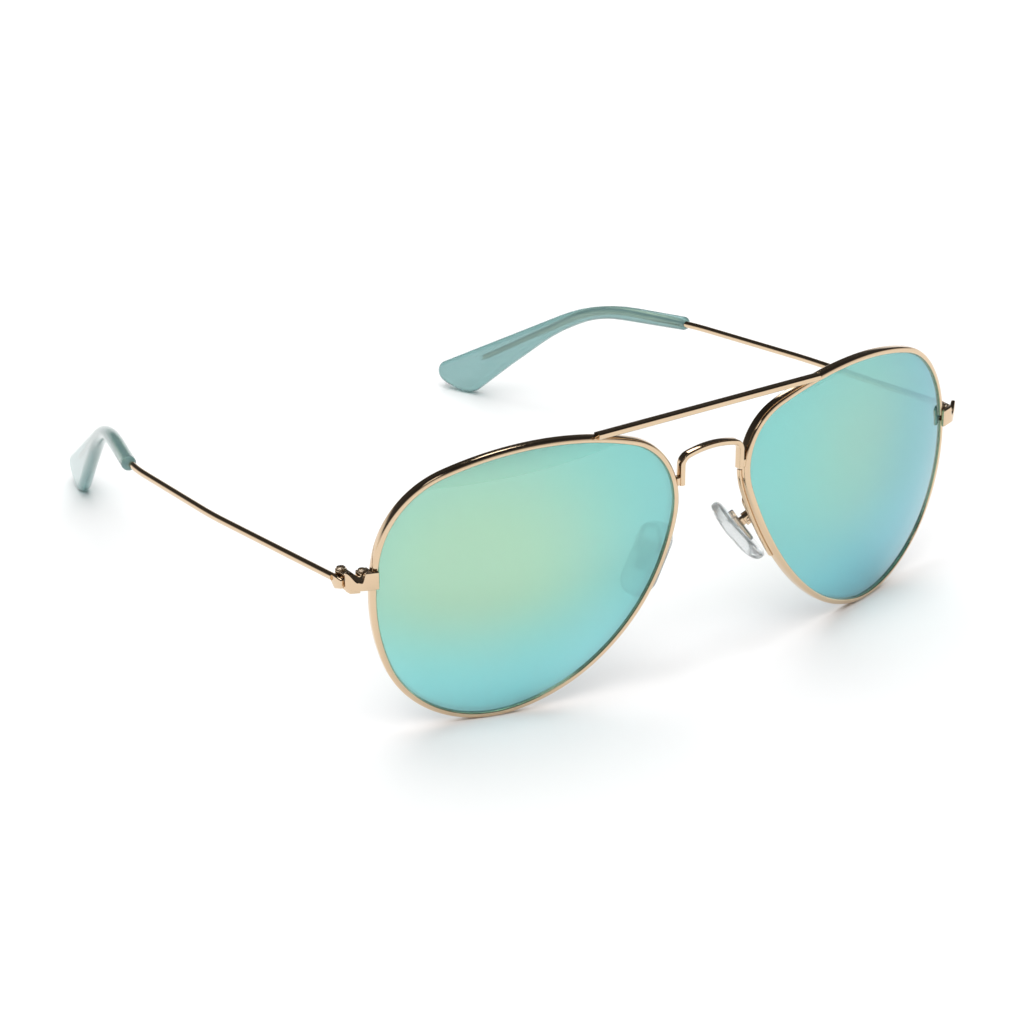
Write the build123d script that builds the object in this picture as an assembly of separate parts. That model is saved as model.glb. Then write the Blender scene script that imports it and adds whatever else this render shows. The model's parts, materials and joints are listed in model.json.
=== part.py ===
from build123d import *
from math import cos, radians, sin
import os

# Aviator sunglasses: a thin wire front with a brow bar, two folding wire temples with translucent
# tips, and two rocking nose pads.  Millimetres.
#
# Everything is drawn in the frame of the glasses' front and moved to the row frame at the end.
# Front frame: origin midway between the lenses, front faces -Y, temples run along +Y, +Z is up
# along the front.  The row frame stands on the table: the glasses lean forward until the rims and
# the temple tips touch it, and the origin is the middle of that footprint.
# One side is drawn at +X, which is the wearer's left, and mirrored for the wearer's right.

SIDES = {"left": 1, "right": -1}

# Lens and rim.  u runs from the nose to the temple across the lens, v runs up.
LENS_CENTRE_X = 39.5
WRAP_ANGLE = 13.2
LENS_RADIUS = 80.8
# The lens outline is a closed chain of tangent arcs that starts at the temple side and runs up,
# over the top and down past the nose: how far each arc turns, and its radius.  The last turn and
# the last two radii are worked out so that the chain closes.
OUTLINE_START = (26.1, 6.9)
OUTLINE_HEADING = 101.7
OUTLINE_TURNS = [58.7, 39.8, 84.3, 37.7, 24.1, 81.9]
OUTLINE_RADII = [18.7, 53.2, 12.2, 47.7, 37.0]
RIM_WIDTH = 1.07
RIM_DEPTH = 1.7
LENS_SET_BACK = 0.85
LENS_THICKNESS = 1.2
LENS_TONGUE_REACH = 0.4
LENS_TONGUE_DEPTHS = (0.95, 1.35)
LENS_CLEARANCE = 0.03
RIM_SPLIT_HEIGHT = 3.3
RIM_SPLIT_GAP = 0.5

# Brow bar and bridge.
BROW_HALF_LENGTH = 24.8
BROW_BOTTOM = 23.7
BROW_HEIGHT = 1.15
BAR_FRONT_Y = 0.2
BAR_DEPTH = 1.7
BRIDGE_FRONT_Y = -0.5
BRIDGE_LEG_X = 6.65
BRIDGE_LEG_BOTTOM = 10.8
BRIDGE_SHOULDER_Z = 16.0
BRIDGE_CREST_Z = 17.6
BRIDGE_WIDTH = 1.0
BRIDGE_CORNER_RADIUS = 1.9
BRIDGE_CREST_RADIUS = 20.0
SOLDER_HEIGHT = 1.7
SOLDER_OUTER_X = 7.8

# Nose pads.  Each pad has its own frame: s down its length, t to the rear, n away from the nose.
PAD_ORIGIN = (10.1, 5.4, -3.7)
PAD_LENGTH_DIRECTION = (0.558, -0.18, -0.814)
PAD_OUTWARD_DIRECTION = (0.733, -0.342, 0.578)
PAD_LENGTH = 14.6
PAD_WIDTH = 7.2
PAD_CORNER_RADIUS = 3.5
PAD_CENTRE_S = 1.1
PAD_FACE_N = -2.1
PAD_BACK_N = 0.7
PAD_EDGE_ROUNDING = 0.8
PAD_CURVE_RADIUS = 28.0
PAD_BOSS = (6.4, 3.0, 0.7)
INSERT_PLATE = (5.4, 2.2, 0.6)
INSERT_PLATE_N = 0.8
POST_SIZE = (1.5, 1.0)
PAD_PIVOT_N = 2.9
PAD_SCREW_RADIUS = 0.3
PAD_SCREW_HEAD_RADIUS = 0.6
PAD_SCREW_HEAD_HEIGHT = 0.3
PIVOT_CLEARANCE = 0.06
EAR_INNER_T = 0.62
EAR_THICKNESS = 0.4
BOX_LENGTH = 1.8
BOX_BOTTOM_N = 2.0
BOX_WALL_N = 3.85
BOX_WALL = 0.4
PAD_ARM_RADIUS = 0.45
PAD_ARM_ROOT = (11.5, 0.0, -3.6)
PAD_ARM_LOOP = [(9.9, 3.1, 2.6), (11.8, 4.9, 2.4)]
PAD_ARM_BEND_RADIUS = 0.9
PAD_FOOT_WIDTH = 0.3
PAD_FOOT_DEPTHS = (0.8, 1.65)
PAD_FOOT_TOP = 10.2
PAD_FOOT_BOTTOM = -8.8

# End piece: a strip that wraps from the rim's front round to the side, with a scoop in its top.
END_PIECE_ROUTE = [(64.35, 10.15), (67.3, 11.2), (69.5, 13.1)]
END_PIECE_BEND_RADIUS = 3.0
END_PIECE_THICKNESS = 0.8
END_PIECE_BOTTOM = 1.65
END_PIECE_TOP = 5.1
SCOOP_CENTRE = (67.7, 11.1, 4.7)
SCOOP_DIRECTION = (0.6, -0.8, 0.0)
SCOOP_RADIUS = 1.2

# Closing block: the two halves of the split rim, pulled together by an upright screw.
CLOSING_BLOCK_X = (64.9, 67.2)
CLOSING_BLOCK_Y = (11.7, 13.5)
CLOSING_BLOCK_HEIGHT = 1.2
CLOSING_SCREW_X = 66.35
CLOSING_SCREW_Y = 12.6
CLOSING_SCREW_RADIUS = 0.45
CLOSING_SCREW_HEAD_RADIUS = 0.75

# Hinge: two knuckles on the front, one on the temple, and an upright screw as its pin.
HINGE_X = 68.15
HINGE_Y = 16.7
KNUCKLE_RADIUS = 1.05
KNUCKLE_LOWER = (1.0, 1.95)
KNUCKLE_MIDDLE = (2.05, 3.1)
KNUCKLE_UPPER = (3.2, 4.0)
HINGE_ROOT = [(67.3, 11.6), (69.0, 12.3), (69.15, 13.7), (67.3, 13.7)]
HINGE_SCREW_RADIUS = 0.5
HINGE_SCREW_HEAD_RADIUS = 0.85
SCREW_HEAD_HEIGHT = 0.35
SCREW_SLOT = (0.25, 0.15)
SCREW_SEAT_CLEARANCE = 0.02

# Temple: flat end cap, wire and sleeve tip.
CAP_X = (69.35, 70.15)
CAP_PROFILE = [(13.5, 1.85), (13.5, 3.5), (17.2, 3.45), (17.2, 2.2), (15.8, 1.0)]
CAP_LINK_X = 68.8
CAP_LINK_Y = (15.6, 17.0)
WIRE_RADIUS = 0.7
WIRE_ROUTE = [
    (69.75, 17.1, 2.8),
    (70.0, 60.0, -1.8),
    (68.0, 97.0, -5.65),
    (60.9, 120.5, -7.4),
    (51.3, 152.0, -27.7),
]
WIRE_BEND_RADII = [150.0, 60.0, 40.0]
TIP_PLANE_ORIGIN = (68.0, 97.0, 0.0)
TIP_DIRECTION = (-0.29, 0.957, 0.0)
TIP_THICKNESS = 3.0
TIP_EDGE_ROUNDING = 1.3
# Corners of the tip's side view, as distance along the tip and height, and how round each one is.
TIP_CORNERS = [
    (0.0, -4.15),
    (25.5, -6.4),
    (74.3, -34.4),
    (68.3, -37.1),
    (61.5, -38.2),
    (50.0, -28.1),
    (36.0, -16.3),
    (24.0, -9.6),
    (0.0, -7.1),
]
TIP_CORNER_RADII = [52.0, 2.6, 10.0, 7.0, 60.0, 60.0, 30.0]


def lens_plane():
    """Plane of one lens: x across the lens to the temple, y up, z towards the viewer."""
    wrap = radians(WRAP_ANGLE)
    return Plane(
        origin=(LENS_CENTRE_X, 0, 0),
        x_dir=(cos(wrap), sin(wrap), 0),
        z_dir=(sin(wrap), -cos(wrap), 0),
    )


def closed_outline_arcs():
    """Headings before each arc and radii of all the arcs, with the closing values worked out."""
    turns = OUTLINE_TURNS + [360 - sum(OUTLINE_TURNS)]
    headings = [OUTLINE_HEADING]
    for turn in turns:
        headings.append(headings[-1] + turn)
    steps = []
    for before, after in zip(headings, headings[1:]):
        a, b = radians(before), radians(after)
        steps.append((sin(b) - sin(a), cos(a) - cos(b)))
    open_x = sum(radius * step[0] for radius, step in zip(OUTLINE_RADII, steps))
    open_y = sum(radius * step[1] for radius, step in zip(OUTLINE_RADII, steps))
    (ax, ay), (bx, by) = steps[-2:]
    scale = ax * by - ay * bx
    closing = [(open_y * bx - open_x * by) / scale, (open_x * ay - open_y * ax) / scale]
    return headings, OUTLINE_RADII + closing


def outward(heading):
    """Unit vector square to a heading, on the outside of a loop drawn anticlockwise."""
    return Vector(sin(radians(heading)), -cos(radians(heading)))


def outline_face(grow):
    """Lens outline grown outward by a set amount, as a face."""
    headings, radii = closed_outline_arcs()
    arcs = []
    point = Vector(*OUTLINE_START)
    for radius, before, after in zip(radii, headings, headings[1:]):
        centre = point - outward(before) * radius
        start, middle, end = [
            centre + outward(heading) * (radius + grow) for heading in (before, (before + after) / 2, after)
        ]
        arcs.append(ThreePointArc(start, middle, end))
        point = centre + outward(after) * radius
    return make_face(arcs)


def curved_layer(face, front_depth, back_depth):
    """Part of a face's prism that lies between two depths behind the rim's front surface."""
    prism = extrude(face, amount=15, both=True)
    centre = Pos(0, 0, -LENS_RADIUS)
    layer = centre * Sphere(LENS_RADIUS - front_depth) - centre * Sphere(LENS_RADIUS - back_depth)
    return prism & layer


def box_between(low, high):
    """Box from its lowest to its highest corner."""
    size = [top - bottom for bottom, top in zip(low, high)]
    middle = [(top + bottom) / 2 for bottom, top in zip(low, high)]
    return Pos(*middle) * Box(*size)


def upright_cylinder(x, y, radius, low, high):
    """Round bar along Z between two heights."""
    return Pos(x, y, (low + high) / 2) * Cylinder(radius, high - low)


def prism_between(points, low, high):
    """Upright prism over a polygon of (x, y) points."""
    return Pos(0, 0, low) * extrude(make_face(Polyline(*points, close=True)), amount=high - low)


def slotted_screw(x, y, shaft_radius, head_radius, low, head_seat):
    """Upright screw with a low slotted head above its seat."""
    top = head_seat + SCREW_HEAD_HEIGHT
    screw = upright_cylinder(x, y, shaft_radius, low, head_seat)
    screw += upright_cylinder(x, y, head_radius, head_seat, top)
    slot_width, slot_depth = SCREW_SLOT
    return screw - Pos(x, y, top) * Box(3 * head_radius, slot_width, 2 * slot_depth)


def make_lens():
    """Curved lens with a tongue round its edge that sits in the rim's groove."""
    body = curved_layer(outline_face(-LENS_CLEARANCE), LENS_SET_BACK, LENS_SET_BACK + LENS_THICKNESS)
    tongue = curved_layer(outline_face(LENS_TONGUE_REACH), *LENS_TONGUE_DEPTHS)
    return lens_plane().location * (body + tongue)


def make_rim():
    """Grooved wire round the lens, split at its temple side where the closing block sits."""
    band = curved_layer(outline_face(RIM_WIDTH) - outline_face(0), 0, RIM_DEPTH)
    tongue_front, tongue_back = LENS_TONGUE_DEPTHS
    groove = curved_layer(
        outline_face(LENS_TONGUE_REACH + LENS_CLEARANCE),
        tongue_front - LENS_CLEARANCE,
        tongue_back + LENS_CLEARANCE,
    )
    split = box_between(
        (60, 5, RIM_SPLIT_HEIGHT - RIM_SPLIT_GAP / 2),
        (70, 20, RIM_SPLIT_HEIGHT + RIM_SPLIT_GAP / 2),
    )
    return lens_plane().location * (band - groove) - split


def make_brow_bar(rims):
    """Straight flat bar that lies on top of both rims."""
    bar = box_between(
        (-BROW_HALF_LENGTH, BAR_FRONT_Y, BROW_BOTTOM),
        (BROW_HALF_LENGTH, BAR_FRONT_Y + BAR_DEPTH, BROW_BOTTOM + BROW_HEIGHT),
    )
    return bar - rims


def make_bridge(rims):
    """Inverted U of flat wire whose legs are soldered to the rims."""
    middle_y = BRIDGE_FRONT_Y + BAR_DEPTH / 2
    path = FilletPolyline(
        (BRIDGE_LEG_X, middle_y, BRIDGE_LEG_BOTTOM),
        (BRIDGE_LEG_X, middle_y, BRIDGE_SHOULDER_Z),
        (0, middle_y, BRIDGE_CREST_Z),
        (-BRIDGE_LEG_X, middle_y, BRIDGE_SHOULDER_Z),
        (-BRIDGE_LEG_X, middle_y, BRIDGE_LEG_BOTTOM),
        radius=[BRIDGE_CORNER_RADIUS, BRIDGE_CREST_RADIUS, BRIDGE_CORNER_RADIUS],
    )
    section = Plane(origin=path @ 0, x_dir=(1, 0, 0), z_dir=(0, 0, 1)) * Rectangle(BRIDGE_WIDTH, BAR_DEPTH)
    bridge = sweep(section, path=path)
    for side in SIDES.values():
        edges = sorted((side * BRIDGE_LEG_X, side * SOLDER_OUTER_X))
        bridge += box_between(
            (edges[0], BRIDGE_FRONT_Y + 0.3, BRIDGE_LEG_BOTTOM),
            (edges[1], BRIDGE_FRONT_Y + BAR_DEPTH - 0.1, BRIDGE_LEG_BOTTOM + SOLDER_HEIGHT),
        )
    return bridge - rims


def pad_plane():
    """Plane of one nose pad: x down its length, y to the rear, z away from the nose."""
    return Plane(origin=PAD_ORIGIN, x_dir=PAD_LENGTH_DIRECTION, z_dir=PAD_OUTWARD_DIRECTION)


def cross_pin(radius, start_t, end_t):
    """Round bar along the pad's t direction at the pivot height."""
    return Pos(0, (start_t + end_t) / 2, PAD_PIVOT_N) * Rot(90, 0, 0) * Cylinder(radius, end_t - start_t)


def make_pad_insert():
    """Metal plate inside the pad, with a drilled post that stands in the pad box."""
    plate_length, plate_width, plate_thickness = INSERT_PLATE
    post_length, post_width = POST_SIZE
    insert = Pos(0.6, 0, INSERT_PLATE_N) * Box(plate_length, plate_width, plate_thickness)
    insert += Pos(0, 0, (INSERT_PLATE_N + PAD_PIVOT_N) / 2) * Box(
        post_length, post_width, PAD_PIVOT_N - INSERT_PLATE_N
    )
    insert += cross_pin(post_length / 2, -post_width / 2, post_width / 2)
    hole = cross_pin(PAD_SCREW_RADIUS + PIVOT_CLEARANCE, -post_width, post_width)
    return pad_plane().location * (insert - hole)


def curved_pad_band():
    """Slab that is flat over the pad's upper half and curves away from the nose below."""
    reach = PAD_LENGTH
    centre_n = PAD_BACK_N + PAD_CURVE_RADIUS
    layer = []
    for level in (PAD_FACE_N, PAD_BACK_N):
        radius = centre_n - level
        flat_part = Pos(-reach / 2, 0, centre_n) * Box(reach, 2 * PAD_WIDTH, 2 * radius)
        layer.append(flat_part + Pos(0, 0, centre_n) * Rot(90, 0, 0) * Cylinder(radius, 2 * PAD_WIDTH))
    return (layer[0] - layer[1]) & Pos(0, 0, PAD_FACE_N) * Box(2 * reach, 2 * PAD_WIDTH, 2 * reach)


def on_pad_skin(edge):
    """True if an edge's middle lies on the face that touches the nose."""
    middle = edge @ 0.5
    if middle.X < 0:
        return abs(middle.Z - PAD_FACE_N) < 0.01
    centre = Vector(0, 0, PAD_BACK_N + PAD_CURVE_RADIUS)
    away = Vector(middle.X, 0, middle.Z) - centre
    return abs(away.length - (PAD_BACK_N + PAD_CURVE_RADIUS - PAD_FACE_N)) < 0.01


def make_nose_pad(insert):
    """Soft clear pad with rounded edges and a boss round the insert."""
    outline = Pos(PAD_CENTRE_S, 0) * RectangleRounded(PAD_LENGTH, PAD_WIDTH, PAD_CORNER_RADIUS)
    column = extrude(outline, amount=2 * PAD_LENGTH, both=True)
    body = column & curved_pad_band()
    skin_edges = body.edges().filter_by(on_pad_skin)
    body = fillet(skin_edges, PAD_EDGE_ROUNDING)
    boss_length, boss_width, boss_height = PAD_BOSS
    boss = Pos(0.6, 0, PAD_BACK_N + boss_height / 2 - 0.25) * Box(
        boss_length, boss_width, boss_height + 0.5
    )
    return pad_plane().location * (body + boss) - insert


def make_pad_box():
    """Small channel with two drilled ears that the pad's post rocks in."""
    ear_outer = EAR_INNER_T + EAR_THICKNESS
    half_length = BOX_LENGTH / 2
    top = BOX_WALL_N + BOX_WALL
    shell = box_between((-half_length, -ear_outer, BOX_BOTTOM_N), (half_length, ear_outer, top))
    slot = box_between((-2, -EAR_INNER_T, 0), (2, EAR_INNER_T, BOX_WALL_N))
    hole = cross_pin(PAD_SCREW_RADIUS + SCREW_SEAT_CLEARANCE, -2, 2)
    return pad_plane().location * (shell - slot - hole)


def make_pad_screw():
    """Cross screw of the pad box, with its head to the front."""
    ear_outer = EAR_INNER_T + EAR_THICKNESS
    screw = cross_pin(PAD_SCREW_RADIUS, -ear_outer, ear_outer)
    screw += cross_pin(PAD_SCREW_HEAD_RADIUS, -ear_outer - PAD_SCREW_HEAD_HEIGHT, -ear_outer)
    return pad_plane().location * screw


def make_pad_arm(rim, pad_box):
    """Foot strip along the rim's nose side and the looped wire that carries the pad box."""
    ring = outline_face(RIM_WIDTH + PAD_FOOT_WIDTH) - outline_face(RIM_WIDTH)
    nose_side = box_between((-40, PAD_FOOT_BOTTOM, -20), (-18, PAD_FOOT_TOP, 20))
    foot = lens_plane().location * (curved_layer(ring, *PAD_FOOT_DEPTHS) & nose_side)
    wall_outside = BOX_WALL_N + BOX_WALL + PAD_ARM_RADIUS
    wire_end = pad_plane().from_local_coords((BOX_LENGTH / 2, 0, wall_outside - 0.1))
    path = FilletPolyline(PAD_ARM_ROOT, *PAD_ARM_LOOP, wire_end, radius=PAD_ARM_BEND_RADIUS)
    wire = sweep(Plane(origin=path @ 0, z_dir=path % 0) * Circle(PAD_ARM_RADIUS), path=path)
    return foot + wire - rim - pad_box


def make_end_piece(rim):
    """Wrapped strip over the rim's front, with a round scoop in its top edge."""
    height = END_PIECE_TOP - END_PIECE_BOTTOM
    middle_z = (END_PIECE_TOP + END_PIECE_BOTTOM) / 2
    path = FilletPolyline(*[(x, y, middle_z) for x, y in END_PIECE_ROUTE], radius=END_PIECE_BEND_RADIUS)
    section = Plane(origin=path @ 0, x_dir=(0, 0, 1), z_dir=path % 0) * Rectangle(height, END_PIECE_THICKNESS)
    strip = sweep(section, path=path)
    scoop_side = Circle(SCOOP_RADIUS) + Pos(0, SCOOP_RADIUS) * Rectangle(2 * SCOOP_RADIUS, 2 * SCOOP_RADIUS)
    scoop_x = Vector(0, 0, 1).cross(Vector(*SCOOP_DIRECTION)).normalized()
    scoop_plane = Plane(origin=SCOOP_CENTRE, x_dir=scoop_x, z_dir=SCOOP_DIRECTION)
    scoop = scoop_plane.location * extrude(scoop_side, amount=2, both=True)
    return strip - scoop - rim


def make_closing_block(low, end_piece, rim, hinge_front):
    """One drilled half of the block that closes the rim."""
    block = box_between(
        (CLOSING_BLOCK_X[0], CLOSING_BLOCK_Y[0], low),
        (CLOSING_BLOCK_X[1], CLOSING_BLOCK_Y[1], low + CLOSING_BLOCK_HEIGHT),
    )
    hole = upright_cylinder(
        CLOSING_SCREW_X, CLOSING_SCREW_Y, CLOSING_SCREW_RADIUS + SCREW_SEAT_CLEARANCE, low - 1, low + 3
    )
    return block - hole - end_piece - rim - hinge_front


def make_hinge_front(end_piece):
    """Root plate behind the end piece with the upper and lower knuckles."""
    hinge = prism_between(HINGE_ROOT, KNUCKLE_LOWER[0], KNUCKLE_UPPER[1])
    arm_edges = (HINGE_X - 0.8 * KNUCKLE_RADIUS, HINGE_X + 0.8 * KNUCKLE_RADIUS)
    for low, high in (KNUCKLE_LOWER, KNUCKLE_UPPER):
        hinge += upright_cylinder(HINGE_X, HINGE_Y, KNUCKLE_RADIUS, low, high)
        hinge += box_between((arm_edges[0], 13, low), (arm_edges[1], HINGE_Y, high))
    hole = upright_cylinder(
        HINGE_X, HINGE_Y, HINGE_SCREW_RADIUS + SCREW_SEAT_CLEARANCE, KNUCKLE_LOWER[0], KNUCKLE_UPPER[1]
    )
    return hinge - hole - end_piece


def make_temple_knuckle():
    """Middle knuckle with the link that joins it to the temple's end cap."""
    low, high = KNUCKLE_MIDDLE
    knuckle = upright_cylinder(HINGE_X, HINGE_Y, KNUCKLE_RADIUS, low, high)
    knuckle += box_between((CAP_LINK_X, CAP_LINK_Y[0], low), (CAP_X[0], CAP_LINK_Y[1], high))
    return knuckle - upright_cylinder(HINGE_X, HINGE_Y, HINGE_SCREW_RADIUS + PIVOT_CLEARANCE, low, high)


def make_temple_cap():
    """Flat end of the temple, outside the hinge, that butts against the end piece."""
    face = make_face(Polyline(*[(CAP_X[0], y, z) for y, z in CAP_PROFILE], close=True))
    return extrude(face, amount=CAP_X[1] - CAP_X[0], dir=(1, 0, 0))


def make_temple_wire(cap):
    """Round wire from the end cap to its hidden end inside the tip."""
    path = FilletPolyline(*WIRE_ROUTE, radius=WIRE_BEND_RADII)
    return sweep(Plane(origin=path @ 0, z_dir=path % 0) * Circle(WIRE_RADIUS), path=path) - cap


def make_temple_tip(wire):
    """Sleeve that starts round on the wire and widens into a flat paddle behind the ear."""
    outline = FilletPolyline(*TIP_CORNERS, radius=TIP_CORNER_RADII)
    face = make_face([*outline.edges(), Line(TIP_CORNERS[-1], TIP_CORNERS[0])])
    paddle = extrude(Pos(0, 0, -TIP_THICKNESS / 2) * face, amount=TIP_THICKNESS)
    sides = paddle.faces().filter_by(Plane.XY)
    for side_face in (sides.sort_by(Axis.Z)[0], sides.sort_by(Axis.Z)[-1]):
        long_edges = side_face.edges().sort_by(Axis.X)[1:]
        paddle = fillet(long_edges, TIP_EDGE_ROUNDING)
    plane = Plane(
        origin=TIP_PLANE_ORIGIN,
        x_dir=TIP_DIRECTION,
        z_dir=Vector(*TIP_DIRECTION).cross(Vector(0, 0, 1)),
    )
    return plane.location * paddle - wire


def make_side():
    """All the parts of the side at +X, by name without the side."""
    lens = make_lens()
    rim = make_rim()
    end_piece = make_end_piece(rim)
    hinge_front = make_hinge_front(end_piece)
    insert = make_pad_insert()
    pad_box = make_pad_box()
    cap = make_temple_cap()
    wire = make_temple_wire(cap)
    upper_low = RIM_SPLIT_HEIGHT + RIM_SPLIT_GAP / 2
    lower_low = RIM_SPLIT_HEIGHT - RIM_SPLIT_GAP / 2 - CLOSING_BLOCK_HEIGHT
    return {
        "lens": lens,
        "rim": rim,
        "end_piece": end_piece,
        "hinge_front": hinge_front,
        "hinge_screw": slotted_screw(
            HINGE_X, HINGE_Y, HINGE_SCREW_RADIUS, HINGE_SCREW_HEAD_RADIUS, KNUCKLE_LOWER[0], KNUCKLE_UPPER[1]
        ),
        "closing_block_upper": make_closing_block(upper_low, end_piece, rim, hinge_front),
        "closing_block_lower": make_closing_block(lower_low, end_piece, rim, hinge_front),
        "closing_screw": slotted_screw(
            CLOSING_SCREW_X,
            CLOSING_SCREW_Y,
            CLOSING_SCREW_RADIUS,
            CLOSING_SCREW_HEAD_RADIUS,
            lower_low,
            upper_low + CLOSING_BLOCK_HEIGHT,
        ),
        "pad_arm": make_pad_arm(rim, pad_box),
        "pad_box": pad_box,
        "pad_screw": make_pad_screw(),
        "pad_insert": insert,
        "nose_pad": make_nose_pad(insert),
        "temple_knuckle": make_temple_knuckle(),
        "temple_cap": cap,
        "temple_wire": wire,
        "temple_tip": make_temple_tip(wire),
    }


def lowest(shape, lean):
    """Lowest height of a shape once it is leaned forward about X."""
    return (Rot(lean, 0, 0) * shape).bounding_box().min.Z


def resting_lean(rim, tip):
    """Lean in degrees at which the rim and the tip reach equally low, found by bisection."""
    low, high = 0.0, 10.0
    while high - low > 0.0005:
        middle = (low + high) / 2
        if lowest(tip, middle) < lowest(rim, middle):
            low = middle
        else:
            high = middle
    return (low + high) / 2


def main():
    side_parts = make_side()
    nodes = {}
    for side, sign in SIDES.items():
        for name, shape in side_parts.items():
            nodes[f"{name}_{side}"] = shape if sign > 0 else mirror(shape, about=Plane.YZ)
    rims = nodes["rim_left"] + nodes["rim_right"]
    nodes["brow_bar"] = make_brow_bar(rims)
    nodes["bridge"] = make_bridge(rims)

    lean = resting_lean(side_parts["rim"], side_parts["temple_tip"])
    leaned = {name: Rot(lean, 0, 0) * shape for name, shape in nodes.items()}
    boxes = [shape.bounding_box() for shape in leaned.values()]
    front_y = min(box.min.Y for box in boxes)
    back_y = max(box.max.Y for box in boxes)
    floor_z = min(box.min.Z for box in boxes)
    to_row = Pos(0, -(front_y + back_y) / 2, -floor_z)

    os.makedirs("parts", exist_ok=True)
    for name, shape in leaned.items():
        export_step(to_row * shape, f"parts/{name}.step")

    print(f"lean {lean:.3f} degrees, shift y {-(front_y + back_y) / 2:.3f}, z {-floor_z:.3f}")
    placed = to_row * Rot(lean, 0, 0)
    for label, point in {
        "hinge": (HINGE_X, HINGE_Y, KNUCKLE_LOWER[0]),
        "pad pivot": pad_plane().from_local_coords((0, 0, PAD_PIVOT_N)),
    }.items():
        print(label, (placed * Pos(*tuple(point))).position)


main()
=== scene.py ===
import json
import math

import bmesh
import bpy
from mathutils import Matrix, Vector


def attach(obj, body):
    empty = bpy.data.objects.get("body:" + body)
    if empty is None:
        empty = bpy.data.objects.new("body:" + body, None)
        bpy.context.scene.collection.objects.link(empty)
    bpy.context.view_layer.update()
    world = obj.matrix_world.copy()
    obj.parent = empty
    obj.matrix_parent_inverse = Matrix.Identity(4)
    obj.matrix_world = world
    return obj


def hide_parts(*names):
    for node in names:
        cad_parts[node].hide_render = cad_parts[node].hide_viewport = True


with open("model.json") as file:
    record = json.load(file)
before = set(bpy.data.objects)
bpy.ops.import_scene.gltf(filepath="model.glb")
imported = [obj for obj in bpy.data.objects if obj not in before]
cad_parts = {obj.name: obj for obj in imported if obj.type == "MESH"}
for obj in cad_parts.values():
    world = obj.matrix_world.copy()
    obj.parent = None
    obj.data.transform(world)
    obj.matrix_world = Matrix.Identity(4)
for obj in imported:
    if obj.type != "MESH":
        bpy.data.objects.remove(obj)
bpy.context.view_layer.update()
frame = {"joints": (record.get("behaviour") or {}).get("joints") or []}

# %% [markdown]
# ## From the maker's drawing to the row frame
# The glasses lean forward until rims and temple tips touch the table.  The hinge pin gives both the
# lean and the shift: its axis is the drawing's upright, and its place is known in both frames.
# %% Placing matrix, from the hinge pin
MILLIMETRE = 0.001
HINGE_PIN = Vector((68.15, 16.7, 2.8))
fold = next(joint for joint in frame["joints"] if joint["name"] == "temple_left_fold")
lean = math.atan2(-fold["axis"][1], fold["axis"][2])
LEANED = Matrix.Rotation(lean, 4, "X")
SHIFT = Vector(fold["pos_m"]) / MILLIMETRE - LEANED @ HINGE_PIN
TO_ROW = Matrix.Scale(MILLIMETRE, 4) @ Matrix.Translation(SHIFT) @ LEANED
MIRRORED = Matrix.Diagonal((-1, 1, 1, 1))
SIDES = {"left": Matrix.Identity(4), "right": MIRRORED}
print(f"lean {math.degrees(lean):.2f} degrees, shift {tuple(round(v, 2) for v in SHIFT)}")

# %% [markdown]
# ## Camera, table and light
# A long lens looks down at the front from its right.  The table is a plain pale sheet.  Polished
# gold shows only what stands round it, so the room is pale near the horizon and dark overhead: that
# draws the dark line along the top of every wire.  Two broad lamps light the table but stay out of
# the reflections, and two small ones give the white glints.
# %% Camera
# Measured from the drawing, like the pieces, so the camera leans with the glasses.
CAMERA_PLACE = Vector((-318.195, -408.896, 240.340))
CAMERA_HEADING = math.radians(56.097)
CAMERA_TILT_DOWN = math.radians(24.594)
CAMERA_ROLL = math.radians(-0.051)
camera_data = bpy.data.cameras.new("camera")
camera_data.lens = 110.12
camera_data.sensor_width = 36
camera_data.clip_start = 0.01
camera_data.clip_end = 50
camera = bpy.data.objects.new("camera", camera_data)
bpy.context.scene.collection.objects.link(camera)
camera.matrix_world = (
    Matrix.Translation(TO_ROW @ CAMERA_PLACE)
    @ LEANED
    @ Matrix.Rotation(CAMERA_HEADING - math.pi / 2, 4, "Z")
    @ Matrix.Rotation(math.pi / 2 - CAMERA_TILT_DOWN, 4, "X")
    @ Matrix.Rotation(CAMERA_ROLL, 4, "Z")
)
bpy.context.scene.camera = camera
bpy.context.scene.view_settings.view_transform = "Standard"
print("camera lens", camera_data.lens, "mm")


# %% Helpers that build node trees
def add_node(tree, kind, **settings):
    """New node of a kind, with its settings."""
    node = tree.nodes.new(kind)
    for name, value in settings.items():
        setattr(node, name, value)
    return node


def feed(tree, socket, value):
    """Links an output into a socket, or sets the socket to a plain value."""
    if isinstance(value, bpy.types.NodeSocket):
        tree.links.new(value, socket)
    else:
        socket.default_value = value


def calculate(tree, operation, *values):
    """Math node over its values, as its output socket."""
    node = add_node(tree, "ShaderNodeMath", operation=operation)
    for socket, value in zip(node.inputs, values):
        feed(tree, socket, value)
    return node.outputs[0]


def new_group(name, kind, inputs, outputs):
    """Empty node group with named sockets, and its input and output nodes."""
    tree = bpy.data.node_groups.new(name, kind)
    for label, socket_kind, value in inputs:
        socket = tree.interface.new_socket(label, in_out="INPUT", socket_type=socket_kind)
        if value is not None:
            socket.default_value = value
    for label, socket_kind in outputs:
        tree.interface.new_socket(label, in_out="OUTPUT", socket_type=socket_kind)
    return tree, add_node(tree, "NodeGroupInput"), add_node(tree, "NodeGroupOutput")


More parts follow.
